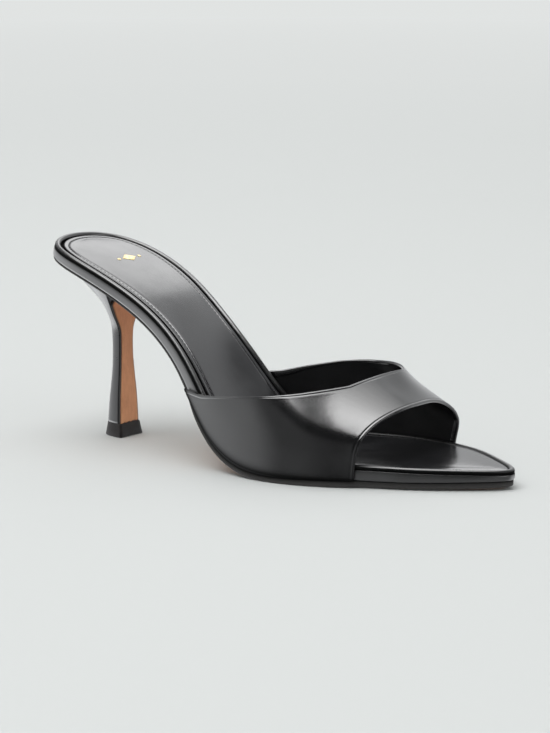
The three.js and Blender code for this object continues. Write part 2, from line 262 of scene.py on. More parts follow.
def cap(inset, depth, across, swell=0.0, place=on_profile):
    """Straight rungs from side to side that close a ring; swell crowns their middle."""
    p = outline(inset)
    a, b = p[:AROUND + 1], np.vstack([p[:1], p[AROUND:][::-1]])
    s = np.linspace(0, 1, across + 1)[None, :, None]
    q = a[:, None] * (1 - s) + b[:, None] * s
    width = np.minimum(1, np.linalg.norm(a - b, axis=1) / 30)[:, None]
    d = depth(q[..., 0]) if callable(depth) else depth
    return place(q[..., 0], q[..., 1], d + swell * width * 4 * s[..., 0] * (1 - s[..., 0]))


rim = outline(0)
rim_length = np.linalg.norm(np.diff(rim, axis=0), axis=1).sum()
print("outline points", len(rim), "outline length mm", round(float(rim_length)))

# %% [markdown]
# ## Writing shaders as sums
# Leather is a recipe of small noises. Wrapping each socket in a tiny class lets the recipe be written as
# arithmetic, and one method makes any other node, with its settings first and its inputs after.


# %% Shader helpers
class S:
    """A shader socket that does sums. The inputs of a node are named, or numbered as i0, i1."""

    tree = None

    def __init__(self, socket):
        self.socket = socket

    @classmethod
    def node(cls, kind, settings=None, out=0, **inputs):
        n = cls.tree.nodes.new(kind)
        for k, v in (settings or {}).items():
            setattr(n, k, v)
        for k, v in inputs.items():
            numbered = k[0] == "i" and k[1:].isdigit()
            socket = n.inputs[int(k[1:])] if numbered else n.inputs[k.replace("_", " ")]
            if isinstance(v, S):
                cls.tree.links.new(v.socket, socket)
            else:
                socket.default_value = v
        return cls(n.outputs[out]) if n.outputs else n

    def math(self, operation, other=0.0, clamp=False):
        return S.node("ShaderNodeMath", {"operation": operation, "use_clamp": clamp}, i0=self, i1=other)

    def __add__(self, o):
        return self.math("ADD", o)

    def __mul__(self, o):
        return self.math("MULTIPLY", o)

    def __sub__(self, o):
        return self.math("SUBTRACT", o)


def place(scale=(1, 1, 1)):
    """Object coordinates in millimetres, stretched by scale."""
    at = S.node("ShaderNodeTexCoord", out=3)
    return S.node("ShaderNodeVectorMath", {"operation": "MULTIPLY"}, i0=at, i1=tuple(1000 * k for k in scale))


def noise(size, detail=2.0, rough=0.5, scale=(1, 1, 1), seed=0.0):
    """Noise about 0.5 whose blobs are this many millimetres across."""
    at = S.node("ShaderNodeVectorMath", {"operation": "ADD"}, i0=place(scale), i1=(seed, seed * 0.7, -seed))
    return S.node("ShaderNodeTexNoise", Vector=at, Scale=1 / size, Detail=detail, Roughness=rough)


def cells(size, feature="F1", seed=0.0):
    at = S.node("ShaderNodeVectorMath", {"operation": "ADD"}, i0=place(), i1=(seed, -seed, seed * 0.3))
    return S.node("ShaderNodeTexVoronoi", {"feature": feature}, Vector=at, Scale=1 / size)


def ramp(value, low, high, a=0.0, b=1.0):
    """value between low and high, mapped smoothly to a..b."""
    limits = {"From_Min": low, "From_Max": high, "To_Min": a, "To_Max": b}
    return S.node("ShaderNodeMapRange", {"interpolation_type": "SMOOTHSTEP"}, Value=value, **limits)


def mix(factor, a, b):
    return S.node("ShaderNodeMix", {"data_type": "RGBA"}, out=2, i0=factor, i6=a, i7=b)


def attribute(name):
    return S.node("ShaderNodeAttribute", {"attribute_name": name}, out=2)


def empty_tree(owner):
    """Gives a material or a world an empty node tree, and makes it the tree that S writes in."""
    owner.use_nodes = True
    S.tree = owner.node_tree
    S.tree.nodes.clear()
    return owner


def finish(name, recipe):
    """Makes a material. Its recipe returns the shader's inputs, a relief, and its height in metres."""
    m = empty_tree(bpy.data.materials.new(name))
    inputs, relief, height = recipe()
    matt = inputs.pop("matt", None)
    if relief is not None:
        inputs["Normal"] = S.node("ShaderNodeBump", Height=relief, Distance=height, Strength=1.0)
    shader = S.node("ShaderNodeBsdfPrincipled", **{k.replace(" ", "_"): v for k, v in inputs.items()})
    # Painted shade: where the recipe gives the mesh's shade number, the shader is mixed towards a flat black
    # one.
    if matt is not None:
        shade_black = {"Base_Color": rgb(0.003, 0.003, 0.003), "Roughness": 0.9, "Specular_IOR_Level": 0.1}
        black = S.node("ShaderNodeBsdfPrincipled", **shade_black)
        shader = S.node("ShaderNodeMixShader", i0=matt, i1=shader, i2=black)
    S.node("ShaderNodeOutputMaterial", Surface=shader)
    print("finish", name, len(S.tree.nodes), "nodes")
    return m


def rgb(r, g, b):
    return (r, g, b, 1.0)


# %% [markdown]
# ## The leathers
# The shoe is black calf. Smooth calf is not a plain black: it has a very fine pebble, pores, long soft
# hills where it was stretched over the last, and a polish that is a little uneven. One recipe makes every
# black leather here, and its numbers say how dark, how polished and how coarse each one is. Where leather is
# pressed into a crease no light reaches it, so a number on the mesh, called shade, fades it to matt black.

# %% Black leathers
def black_leather(name, tone, dark, polish, grain, coat=0.0, hills=1.0, **look):
    """tone and dark are its two greys; look may hold gloss, index, clear (the coat's roughness), shaded."""

    def recipe():
        cloud, fine = noise(14, 3, seed=3), noise(0.9, 2, seed=9)
        pores = ramp(cells(0.42, seed=2), 0.0, 0.55)
        pebble = cells(0.62, "SMOOTH_F1", seed=5)
        colour = mix(ramp(cloud * 0.75 + fine * 0.25, 0.36, 0.64), dark, tone)
        rough = ramp(cloud, 0.3, 0.7, polish - 0.035, polish + 0.035) + (fine - 0.5) * 0.05
        grains = pebble * (0.5 * grain) + pores * (0.22 * grain) + fine * (0.25 * grain)
        relief = grains + noise(7, 2, seed=1) * (1.6 * hills)
        inputs = {"Base Color": colour, "Roughness": rough}
        inputs["IOR"] = look.get("index", 1.6)
        inputs["Specular IOR Level"] = look.get("gloss", 1.0)
        # shaded: the mesh's shade number fades the leather towards flat black, as painted shade.
        if look.get("shaded"):
            inputs["matt"] = attribute("shade")
        inputs["Coat Weight"] = coat
        inputs["Coat Roughness"] = look.get("clear", 0.18)
        return inputs, relief, 0.00006

    return finish(name, recipe)


UPPER_LEATHER = black_leather(
    "calf_polished", rgb(0.0045, 0.0045, 0.0050), rgb(0.0030, 0.0030, 0.0032), 0.19, 0.30, 0.8, 0.5,
    clear=0.12, shaded=True)
BAND_LEATHER = black_leather(
    "calf_wrap", rgb(0.014, 0.014, 0.0145), rgb(0.010, 0.010, 0.0105), 0.33, 0.5, 0.6, index=2.3, shaded=True)
BEAD_LEATHER = black_leather(
    "calf_bead", rgb(0.011, 0.011, 0.0115), rgb(0.0075, 0.0075, 0.008), 0.30, 0.4, index=1.75, shaded=True)
SOCK_LEATHER = black_leather(
    "calf_sock", rgb(0.013, 0.013, 0.0145), rgb(0.009, 0.009, 0.010), 0.22, 0.08,
    hills=0.2, index=1.7, shaded=True)
HEEL_LEATHER = black_leather("calf_heel", rgb(0.010, 0.010, 0.011), rgb(0.007, 0.007, 0.0075), 0.30, 0.5, 0.6)
LINING_LEATHER = black_leather(
    "lining_kid", rgb(0.0045, 0.0045, 0.0050), rgb(0.0028, 0.0028, 0.0031), 0.45, 0.9, gloss=0.35)


# %% [markdown]
# Sole leather is different: it is tanned with bark, left its own tan colour and burnished, so it shows
# fibre, cloudy patches and darker, waxed edges. The edge of the outsole is inked black. A number stored on
# the mesh, called ink, says where that ink goes.

# %% Natural leather, rubber, thread and foil
def natural_leather(name, light, deep):
    def recipe():
        cloud = noise(9, 4, 0.6, seed=4)
        fibre = noise(0.8, 3, 0.6, scale=(1, 1, 0.18), seed=6)  # fibres run up the heel
        speck = ramp(noise(0.5, 2, seed=8), 0.62, 0.75)
        colour = mix(ramp(cloud * 0.6 + fibre * 0.4, 0.34, 0.66), deep, light)
        colour = mix(speck * 0.25, colour, rgb(deep[0] * 0.6, deep[1] * 0.5, deep[2] * 0.5))
        ink = attribute("ink")
        colour = mix(ink, colour, rgb(0.040, 0.038, 0.037))
        rough = ramp(cloud, 0.3, 0.7, 0.46, 0.56) + ink * 0.12
        # The mesh's shade number fades it towards flat black: painted shade, used on the outsole's welt top.
        inputs = {"Base Color": colour, "Roughness": rough, "matt": attribute("shade")}
        return inputs, fibre + cloud * 0.5, 0.00005

    return finish(name, recipe)


def rubber(name, tone):
    def recipe():
        dust, grit = noise(3, 4, 0.65, seed=2), noise(0.35, 2, seed=7)
        colour = mix(ramp(dust, 0.4, 0.75, 0.0, 0.5), tone, rgb(tone[0] * 2.2, tone[1] * 2.1, tone[2] * 2.1))
        inputs = {"Base Color": colour, "Roughness": ramp(dust, 0.3, 0.7, 0.5, 0.68)}
        return inputs, grit + dust * 0.6, 0.00005

    return finish(name, recipe)


def thread(name, tone):
    def recipe():
        strand = noise(0.25, 1, seed=2)
        colour = mix(strand, rgb(*[c * 0.5 for c in tone]), rgb(*tone))
        return {"Base Color": colour, "Roughness": 0.6}, strand, 0.00003

    return finish(name, recipe)


def foil(name):
    def recipe():
        wear = ramp(noise(0.7, 3, seed=5), 0.35, 0.7)
        colour = mix(wear, rgb(0.78, 0.60, 0.30), rgb(0.92, 0.78, 0.48))
        inputs = {"Base Color": colour, "Metallic": 0.85, "Roughness": ramp(wear, 0, 1, 0.42, 0.3)}
        return inputs, noise(0.5, 2), 0.00002

    return finish(name, recipe)


SOLE_LEATHER = natural_leather("sole_leather", rgb(0.60, 0.30, 0.155), rgb(0.45, 0.21, 0.10))
COVER_LEATHER = natural_leather("breast_leather", rgb(0.76, 0.365, 0.185), rgb(0.63, 0.285, 0.135))
RUBBER = rubber("top_rubber", rgb(0.016, 0.014, 0.014))
THREAD = thread("thread_black", (0.012, 0.012, 0.013))
FOIL = foil("gold_foil")

# %% [markdown]
# ## The outsole
# It is one thin leaf under the whole shoe: about 1.2 mm at the heel seat and 3 mm under the ball, flat on
# the ground there, and rising to the tip. It stands out as a narrow welt where the vamp is lasted onto it.
# Rings of the plan, stacked from the ground up, give its rounded and inked edge. The ink runs on under the
# sole as a margin, and inside it the leather keeps its tan.

# %% Outsole
SOLE_EDGE = np.array([  # mm in from the edge, mm up from the underside, ink
    (4.2, 0.0, 0), (3.4, 0.0, 1), (1.1, 0.0, 1), (0.6, 0.04, 1), (0.2, 0.18, 1), (0.0, 0.45, 1),
    (0.0, 0.9, 1)])
WELT_ROUND = 0.2


def welt(x):
    """How far the sole's edge lies inside the plan: less than nothing where the welt stands out."""
    stands_out = smoothstep(x, 97, 109) * (1 - smoothstep(x, 175, 187))
    return 0.5 - (VAMP_OFFSET - 0.1) * stands_out


def on_ground(x, y, depth):
    p = on_profile(x, y, depth)
    p[..., 2] = np.maximum(0, p[..., 2])
    return p


def sole_piece():
    under = lambda x: -total_at(x)
    top = lambda x: -total_at(x) + sole_at(x)
    rings = []
    for edge, up, _ in SOLE_EDGE:
        rings.append(ring(lambda x, e=edge: welt(x) + e, lambda x, r=up: under(x) + r, on_ground))
    rings += [ring(welt, lambda x: top(x) - WELT_ROUND), ring(lambda x: welt(x) + WELT_ROUND, top)]
    ink = np.r_[SOLE_EDGE[:, 2], 1, 1][:, None]
    # Painted shade: the welt's top and the hidden top face fade to flat black through the shade number.
    shade = np.r_[np.zeros(len(SOLE_EDGE)), 0.6, 1.0][:, None]
    net = Net().rows(rings, closed=True, ink=ink, shade=shade)
    net.rows(cap(lambda x: welt(x) + SOLE_EDGE[0, 0], under, 22, place=on_ground), ink=0.0, shade=0.0)
    net.rows(cap(lambda x: welt(x) + WELT_ROUND, top, 10), ink=1.0, shade=1.0)
    return net.piece("sole_leaf", [SOLE_LEATHER])


sole_leaf = sole_piece()

# %% [markdown]
# ## The wrapped platform
# A stiff insole board is covered with calf that is drawn round its edge. Under the cover a cord makes a
# rolled bead along the rim. Seen from the side there are three things: a nearly flat band, a sharp crease,
# and the round bead, and inside the bead a narrow trench where the sock begins. The crease, the underside of
# the bead, the top of the band, the trench, and the bead where it runs on beneath the vamp get little light,
# so the shade number paints them towards flat black: painted shade.

# %% Platform
BAND_FOOT = ((0.9, 0.0), (0.35, 0.08), (0.1, 0.35), (0.0, 0.8))  # mm in, mm above the outsole
BAND = ((0.25, 0.0), (0.5, 0.0), (0.75, 0.12))  # share of the way up, shade
BAND_SWELL, BAND_TOP = 0.06, -1.1
CREASE = (  # mm in, height from the rim line, shade
    (0.0, BAND_TOP, 0.4), (0.04, -0.95, 0.75), (0.16, -0.8, 0.95), (0.42, -0.7, 1.0), (0.8, -0.66, 1.0),
    (0.86, -0.6, 1.0))
BEAD_IN, BEAD_RADIUS, BEAD_UP = 1.36, 1.26, 0.14
BEAD = (  # degrees round its section, from the crease over the top to the trench, and shade
    (208, 1.0), (194, 1.0), (178, 1.0), (160, 0.85), (142, 0.4), (124, 0.0), (106, 0.0), (88, 0.0), (70, 0.0),
    (52, 0.0), (34, 0.0), (16, 0.0), (-2, 0.4), (-20, 1.0))
TRENCH, TRENCH_IN = -0.95, 4.0


# Painted shade on the bead where it runs on beneath the vamp, as a share along the shoe.
def under_vamp(x):
    return 0.85 * smoothstep(x, 100, 112) * (1 - smoothstep(x, 182, 192))


def platform_piece():
    net = Net()
    rings, shade = [], []

    def add(inset, depth, dark):
        rings.append(ring(inset, depth))
        shade.append(np.full(len(rings[-1]), float(dark)))

    foot = lambda x: -total_at(x) + sole_at(x) + GAP - 0.2
    for inset, up in BAND_FOOT:
        add(inset, lambda x, up=up: foot(x) + up, 0.0)
    for k, dark in BAND:
        climb = lambda x, k=k: (foot(x) + BAND_FOOT[-1][1]) * (1 - k) + BAND_TOP * k
        add(-BAND_SWELL * np.sin(np.pi * k), climb, dark)
    for row in CREASE:
        add(*row)
    bead_from = len(rings)
    for degrees, dark in BEAD:
        a = np.radians(degrees)
        add(BEAD_IN + BEAD_RADIUS * np.cos(a), BEAD_UP + BEAD_RADIUS * np.sin(a), dark)
        shade[-1] = np.maximum(shade[-1], under_vamp(rings[-1][:, 0]))
    bead_to = len(rings)
    # The trench gets full painted shade.
    for inset, height in ((2.7, -0.74), (2.95, TRENCH), (TRENCH_IN, TRENCH)):
        add(inset, height, 1.0)
    net.rows(rings, closed=True, shade=np.array(shade))
    net.rows(cap(BAND_FOOT[0][0], foot, 8), shade=0.0).rows(cap(TRENCH_IN, TRENCH, 10), shade=1.0)
    around = len(rings[0])
    first, last = (bead_from - 1) * around, bead_to * around
    net.slots[first:last] = [1] * (last - first)
    return net.piece("platform_wrap", [BAND_LEATHER, BEAD_LEATHER])


platform_wrap = platform_piece()

# %% [markdown]
# ## The padded sock
# The sock is the leaf the foot stands on: calf over thin foam, cut a little smaller than the board. Its edge
# is rolled and faces the narrow trench by the bead, so the shade number paints it flat black: painted shade.
# Round the heel and the shank a line of stitches 2.3 mm in from the edge pulls the foam down into a shallow
# channel, and inside it the surface swells again. Toward the toes the channel fades out.

# %% Sock
SOCK_IN, CHANNEL, CROWN = 3.95, 2.3, 0.45
SOCK_EDGE = np.array([  # mm in, height of the stitched top, height where there is no channel, shade
    (0.35, -0.68, -0.68, 1), (0.05, -0.55, -0.55, 1), (0.0, -0.2, -0.2, 1), (0.03, 0.35, 0.35, 1),
    (0.12, 0.66, 0.66, 0.9), (0.3, 0.80, 0.80, 0.2), (0.6, 0.86, 0.87, 0), (1.2, 0.89, 0.93, 0),
    (1.75, 0.88, 0.97, 0), (2.0, 0.80, 0.99, 0), (2.15, 0.68, 1.0, 0), (CHANNEL, 0.60, 1.01, 0),
    (2.45, 0.68, 1.02, 0), (2.6, 0.84, 1.03, 0), (2.9, 0.97, 1.05, 0), (3.6, 1.05, 1.08, 0),
    (4.4, 1.10, 1.10, 0), (5.2, 1.12, 1.12, 0)])
SOCK_FLAT, SOCK_TOP = SOCK_EDGE[-1, 0], SOCK_EDGE[-1, 1]


def sock_in(x):
    """The sock reaches closer to the bead at the toes."""
    return SOCK_IN - 1.1 * smoothstep(x, 150, 188)


def sock_piece():
    def depth(stitched, plain):
        return lambda x: stitched + (plain - stitched) * smoothstep(x, 150, 180)

    rings = [ring(lambda x, e=e: sock_in(x) + e, depth(d, flat)) for e, d, flat, _ in SOCK_EDGE]
    # The shade column paints the rolled edge flat black: painted shade.
    net = Net().rows(rings, closed=True, shade=SOCK_EDGE[:, 3:])
    net.rows(cap(lambda x: sock_in(x) + SOCK_EDGE[0, 0], SOCK_EDGE[0, 1], 8), shade=1.0)
    net.rows(cap(lambda x: sock_in(x) + SOCK_FLAT, SOCK_TOP, 40, swell=CROWN), shade=0.0)
    return net.piece("sock_leaf", [SOCK_LEATHER])


sock_leaf = sock_piece()

# %% [markdown]
# ## A foil ornament
# The heel seat carries a small gold ornament pressed into the sock: a lozenge between two dots. Each part is
# a thin closed leaf that follows the crown of the sock, so it needs the height of the sock at each place.

# %% Foil ornament
def sock_height(x, y):
    """Height of the sock's top above the rim line, away from its stitched edge."""
    left, right = side_curve(+1, SOCK_IN + SOCK_FLAT), side_curve(-1, SOCK_IN + SOCK_FLAT)
    a, b = np.interp(x, left[:, 0], left[:, 1]), np.interp(x, right[:, 0], right[:, 1])
    s = np.clip((a - y) / (a - b), 0, 1)
    return SOCK_TOP + CROWN * np.minimum(1, (a - b) / 30) * 4 * s * (1 - s)


def ornament_piece(centre=(31.5, 3.0), sink=0.15, stand=0.16):
    """Each part is a fan of rings, given by its place across the shoe, its half width and its half length."""
    net, around = Net(), np.radians(np.arange(0, 360, 7.5))
    lozenge = lambda a: 1 / (np.abs(np.cos(a)) + np.abs(np.sin(a)))
    dot = np.ones_like
    top = [(0.0, stand), (0.5, stand), (0.92, stand), (1.0, stand - 0.06)]
    bottom = [(1.0, -sink), (0.5, -sink), (0.0, -sink)]
    for across, wide, long, shape in ((0.0, 4.6, 2.9, lozenge), (-7.0, 0.9, 0.9, dot), (7.0, 0.9, 0.9, dot)):
        rings = []
        for share, lift in top + bottom:
            x = centre[0] + share * long * shape(around) * np.sin(around)
            y = centre[1] + across + share * wide * shape(around) * np.cos(around)
            rings.append(on_profile(x, y, sock_height(x, y) + lift))
        net.rows(rings, closed=True)
    return net.piece("foil_ornament", [FOIL])


foil_ornament = ornament_piece()

# %% [markdown]
# ## Stitches by Geometry Nodes
# Stitches repeat along a path, so they are instanced. The tree takes a path of edges, divides it by the
# stitch pitch, puts one small thread capsule on each point, lays it along the path, and turns the result
# into a real mesh with its material. The sizes are named inputs of the tree.

# %% Stitch tree
def stitch_tree():
    tree = bpy.data.node_groups.new("stitch_row", "GeometryNodeTree")
    face = tree.interface
    face.new_socket("Geometry", in_out="INPUT", socket_type="NodeSocketGeometry")
    for name, value in (("Pitch", 0.0024), ("Stitch Length", 0.0017), ("Thread Radius", 0.00024)):
        face.new_socket(name, in_out="INPUT", socket_type="NodeSocketFloat").default_value = value
    face.new_socket("Thread", in_out="INPUT", socket_type="NodeSocketMaterial")
    face.new_socket("Geometry", in_out="OUTPUT", socket_type="NodeSocketGeometry")
    new = lambda kind: tree.nodes.new(kind)
    join = tree.links.new
    start, end = new("NodeGroupInput"), new("NodeGroupOutput")
    curve, cut = new("GeometryNodeMeshToCurve"), new("GeometryNodeResampleCurve")
    cut.mode = "LENGTH"
    ball, size = new("GeometryNodeMeshUVSphere"), new("ShaderNodeCombineXYZ")
    put = new("GeometryNodeInstanceOnPoints")
    for name, value in (("Segments", 8), ("Rings", 6), ("Radius", 1.0)):
        ball.inputs[name].default_value = value
    tangent, turn = new("GeometryNodeInputTangent"), new("FunctionNodeAlignRotationToVector")
    turn.axis = "X"
    half, real = new("ShaderNodeMath"), new("GeometryNodeRealizeInstances")
    paint = new("GeometryNodeSetMaterial")
    half.operation, half.inputs[1].default_value = "MULTIPLY", 0.5
    join(start.outputs["Geometry"], curve.inputs[0])
    join(curve.outputs[0], cut.inputs["Curve"])
    join(start.outputs["Pitch"], cut.inputs["Length"])
    join(start.outputs["Stitch Length"], half.inputs[0])
    join(half.outputs[0], size.inputs["X"])
    join(start.outputs["Thread Radius"], size.inputs["Y"])
    join(start.outputs["Thread Radius"], size.inputs["Z"])
    join(tangent.outputs[0], turn.inputs["Vector"])
    join(cut.outputs[0], put.inputs["Points"])
    join(ball.outputs["Mesh"], put.inputs["Instance"])
    join(turn.outputs[0], put.inputs["Rotation"])
    join(size.outputs[0], put.inputs["Scale"])
    join(put.outputs[0], real.inputs[0])
    join(real.outputs[0], paint.inputs["Geometry"])
    join(start.outputs["Thread"], paint.inputs["Material"])
    join(paint.outputs[0], end.inputs[0])
    return tree


STITCHES = stitch_tree()


def stitch_row(name, path, sizes):
    """Runs the tree on a path in last millimetres and keeps the result as a plain mesh."""
    mesh = bpy.data.meshes.new(name + "_path")
    mesh.from_pydata(to_frame(path).tolist(), [(i, i + 1) for i in range(len(path) - 1)], [])
    carrier = bpy.data.objects.new(name + "_path", mesh)
    bpy.context.scene.collection.objects.link(carrier)
    mod = carrier.modifiers.new("stitches", "NODES")
    mod.node_group = STITCHES
    for item in STITCHES.interface.items_tree:
        if item.in_out == "INPUT" and item.name in sizes:
            mod[item.identifier] = sizes[item.name]
        if item.in_out == "INPUT" and item.name == "Thread":
            mod[item.identifier] = THREAD
    bpy.context.view_layer.update()
    made = bpy.data.meshes.new_from_object(carrier.evaluated_get(bpy.context.evaluated_depsgraph_get()))
    bpy.data.objects.remove(carrier)
    obj = bpy.data.objects.new(name, made)
    bpy.context.scene.collection.objects.link(obj)
    made.polygons.foreach_set("use_smooth", [True] * len(made.polygons))
    print(name, len(made.polygons) // 48, "stitches")  # a capsule of 8 by 6 has 48 faces
    return obj


# %% Stitches of the sock
STITCH_UP, STITCHED_TO = 0.66, 150
stitch_line = ring(SOCK_IN + CHANNEL, STITCH_UP)
last = int((stitch_line[:AROUND, 0] < STITCHED_TO).sum())
stitch_line = np.vstack([stitch_line[-last:], stitch_line[:last]])  # round the heel, from vamp to vamp
stitch_sizes = {"Pitch": 0.0023, "Stitch Length": 0.0015, "Thread Radius": 0.00021}
sock_stitches = stitch_row("sock_stitches", stitch_line, stitch_sizes)

# %% [markdown]
# ## The vamp
# The vamp is one closed shell: polished calf outside, thin lining inside, with the edges folded over so the
# cut never shows. Its surface is an arch whose height, lean and width change along the shoe. The topline cuts
# it at a height that differs on the two sides, and the peep edge cuts it across the toes. Each row of points
# runs along the shoe on the outside, round the peep fold, and back on the inside.

# %% Vamp surface
crest_at, crest_swing = spline(VAMP[:, 0], VAMP[:, 1]), spline(VAMP[:, 0], VAMP[:, 2])
top_out, top_in = straight(VAMP[:, 0], VAMP[:, 3]), straight(VAMP[:, 0], VAMP[:, 4])
peep_at = spline(PEEP[:, 0], PEEP[:, 1])


def vamp_foot(x):
    return -total_at(x) + sole_at(x) + GAP - 0.15


def station_at(x, depth):
    s = np.array(x, float)
    for _ in range(8):
        s = s + x - on_profile(s, 0, depth(s))[..., 0]
    return s


def vamp_point(x, turn):
    """The outer face: turn goes round the arch, from 0 at the outer sole edge to pi at the inner one."""
    x, turn = np.broadcast_arrays(np.asarray(x, float), turn)
    c, s = np.cos(turn), np.maximum(np.sin(turn), 0)
    side = np.where(c < 0, 1, -1)
    out_power, up_power = np.where(c < 0, 0.88, 1.1), np.where(c < 0, 0.67, 0.73)
    station = station_at(x, vamp_foot)
    foot = on_profile(station, 0, vamp_foot(station))[..., 2]
    out = VAMP_OFFSET + VAMP_BULGE * smoothstep(s, 0, 0.45)
    reach = half_at(turn_of(station)) + out - side * crest_swing(x)
    y = swing_at(station) + crest_swing(x) + side * reach * np.abs(c) ** out_power
    return np.stack([x, y, foot + crest_at(x) * s**up_power], -1)


def topline_x(turn):
    w = (1 - np.cos(turn)) / 2
    back, front = np.full(len(turn), 90.0), np.full(len(turn), 196.0)
    for _ in range(40):
        mid = (back + front) / 2
        over = vamp_point(mid, turn)[..., 2] > (1 - w) * top_out(mid) + w * top_in(mid)
        back, front = np.where(over, mid, back), np.where(over, front, mid)
    return back


VAMP_AROUND, ARCH_X = 150, 165.0
fine = np.linspace(0, np.pi, 4001)
arch = vamp_point(np.full(len(fine), ARCH_X), fine)
run = np.r_[0, np.cumsum(np.linalg.norm(np.diff(arch, axis=0), axis=1))]
turns = np.interp(np.linspace(0, run[-1], VAMP_AROUND + 1), run, fine)
vamp_from, vamp_to = topline_x(turns), peep_at(np.degrees(turns))
bridge = (vamp_to - vamp_from).min()
print("vamp: arch length mm", round(float(run[-1])), "bridge width mm", round(float(bridge), 1))

# %% [markdown]
# The shell has a thickness, so the lining is the same surface moved in along its own normals. A short table
# says how far below the outer face each line near a cut edge lies: the round of the fold, the tooled line
# beside it, and on the lining side the step where the binding ends. At its foot the calf turns in under the
# shoe, and there the shade number paints the last rows and the underside flat black: painted shade.

# %% Vamp shell
def surface_normals(net):
    across, along = np.gradient(net, axis=0), np.gradient(net, axis=1)
    n = np.cross(across, along)
    n /= np.maximum(1e-9, np.linalg.norm(n, axis=-1))[..., None]
    out = net - np.stack([net[..., 0], swing_at(net[..., 0]), np.full(net.shape[:2], 2.0)], -1)
    return n * np.sign((n * out).sum(-1))[..., None]


FOLD = np.array([  # mm in from the cut edge, mm below the outer face: fold, tooled line, then plain calf
    (0.0, 0.8), (0.03, 0.5), (0.15, 0.24), (0.38, 0.07), (0.7, 0.0), (1.15, 0.0), (1.35, 0.07), (1.5, 0.13),
    (1.65, 0.07), (1.85, 0.0), (2.3, -0.03), (3.2, 0.0)])
BINDING = np.array([  # the same on the lining side, with the step where the binding ends
    (0.0, 0.8), (0.03, 1.1), (0.15, 1.36), (0.38, 1.53), (0.7, 1.6), (1.3, 1.62), (2.0, 1.62), (2.35, 1.62),
    (2.5, 1.58), (2.6, 1.5), (2.9, 1.48), (3.2, 1.5)])
BINDING_ENDS, LINING_DEPTH = 2.55, 1.5
FOOT_SHADE = (1.0, 0.9, 0.4, 0.1)  # shade of the rows at each foot of the vamp


def vamp_piece(middle=60):
    """Each row is a loop: the outer face from topline to peep, a fold, the lining back, and a fold."""
    slant = np.linalg.norm(vamp_point(vamp_to, turns) - vamp_point(vamp_from, turns), axis=-1)
    to_x = ((vamp_to - vamp_from) / slant)[:, None]

    def sheet(edge, plain):
        lo, hi = vamp_from[:, None] + edge[:, 0] * to_x, vamp_to[:, None] - edge[::-1, 0] * to_x
        inner = lo[:, -1:] + (hi[:, :1] - lo[:, -1:]) * np.linspace(0, 1, middle + 1)[1:-1]
        face = vamp_point(np.hstack([lo, inner, hi]), turns[:, None])
        normal = surface_normals(face)
        normal[[0, -1], :, 2] = 0
        normal /= np.linalg.norm(normal, axis=-1)[..., None]
        depth = np.r_[edge[:, 1], np.full(middle - 1, plain), edge[::-1, 1]]
        return face - normal * depth[:, None]

    outer, inside = sheet(FOLD, 0.0), sheet(BINDING, LINING_DEPTH)
    rows, columns = outer.shape[:2]
    # Painted shade: the last rows at each foot of the vamp and the faces under it fade to flat black.
    foot_shade = np.zeros((rows, 1))
    foot_shade[:len(FOOT_SHADE), 0] = foot_shade[:-len(FOOT_SHADE) - 1:-1, 0] = FOOT_SHADE
    net = Net().rows(outer, slot=0, shade=foot_shade).rows(inside[:, ::-1], slot=1, shade=0.0)
    for i in (0, -1):
        net.rows(np.stack([outer[i], inside[i]]), slot=1, shade=1.0)
    band = (BINDING[:, 0] < BINDING_ENDS).sum() - 1
    for f, (corner, *_) in enumerate(net.faces):
        if rows * columns <= corner < 2 * rows * columns:  # a face of the lining
            column = corner % columns
            if min(column, columns - 2 - column) < band:
                net.slots[f] = 0
    return net.piece("vamp_shell", [UPPER_LEATHER, LINING_LEATHER])


vamp_shell = vamp_piece()

# %% [markdown]
# ## The heel
# The heel is a slim block with a flat front, the breast, and a round back. It swells at the top into a cup
# that takes the seat. Here each column of points climbs the heel until it meets the underside of the sole, so
# the cup fits the curved seat exactly.

# %% Heel
heel_half, heel_breast, heel_back = (spline(HEEL[:, 0], HEEL[:, k]) for k in (1, 2, 3))
COVER, SLACK = 1.0, 0.05  # thickness of the breast's facing; air left above and below the heel


def d_section(half, front, back, a, corner=0.9):
    """The straight front and round back of the heel, as a goes from 0 to pi."""
    x = front - (front - back) * np.sin(a) ** corner
    y = HEEL_Y + half * np.sign(np.cos(a)) * np.abs(np.cos(a)) ** corner
    return x, y


def heel_column(z, a):
    x, y = d_section(heel_half(z), heel_breast(z) - COVER - 0.1, heel_back(z), a)
    return np.stack([x, y, np.broadcast_to(z, x.shape)], -1)


def seat_z(x):
    """Height of the underside of the sole above a place."""
    s = station_at(x, lambda t: -total_at(t) - SLACK)
    return on_profile(s, 0, -total_at(s) - SLACK)[..., 2]


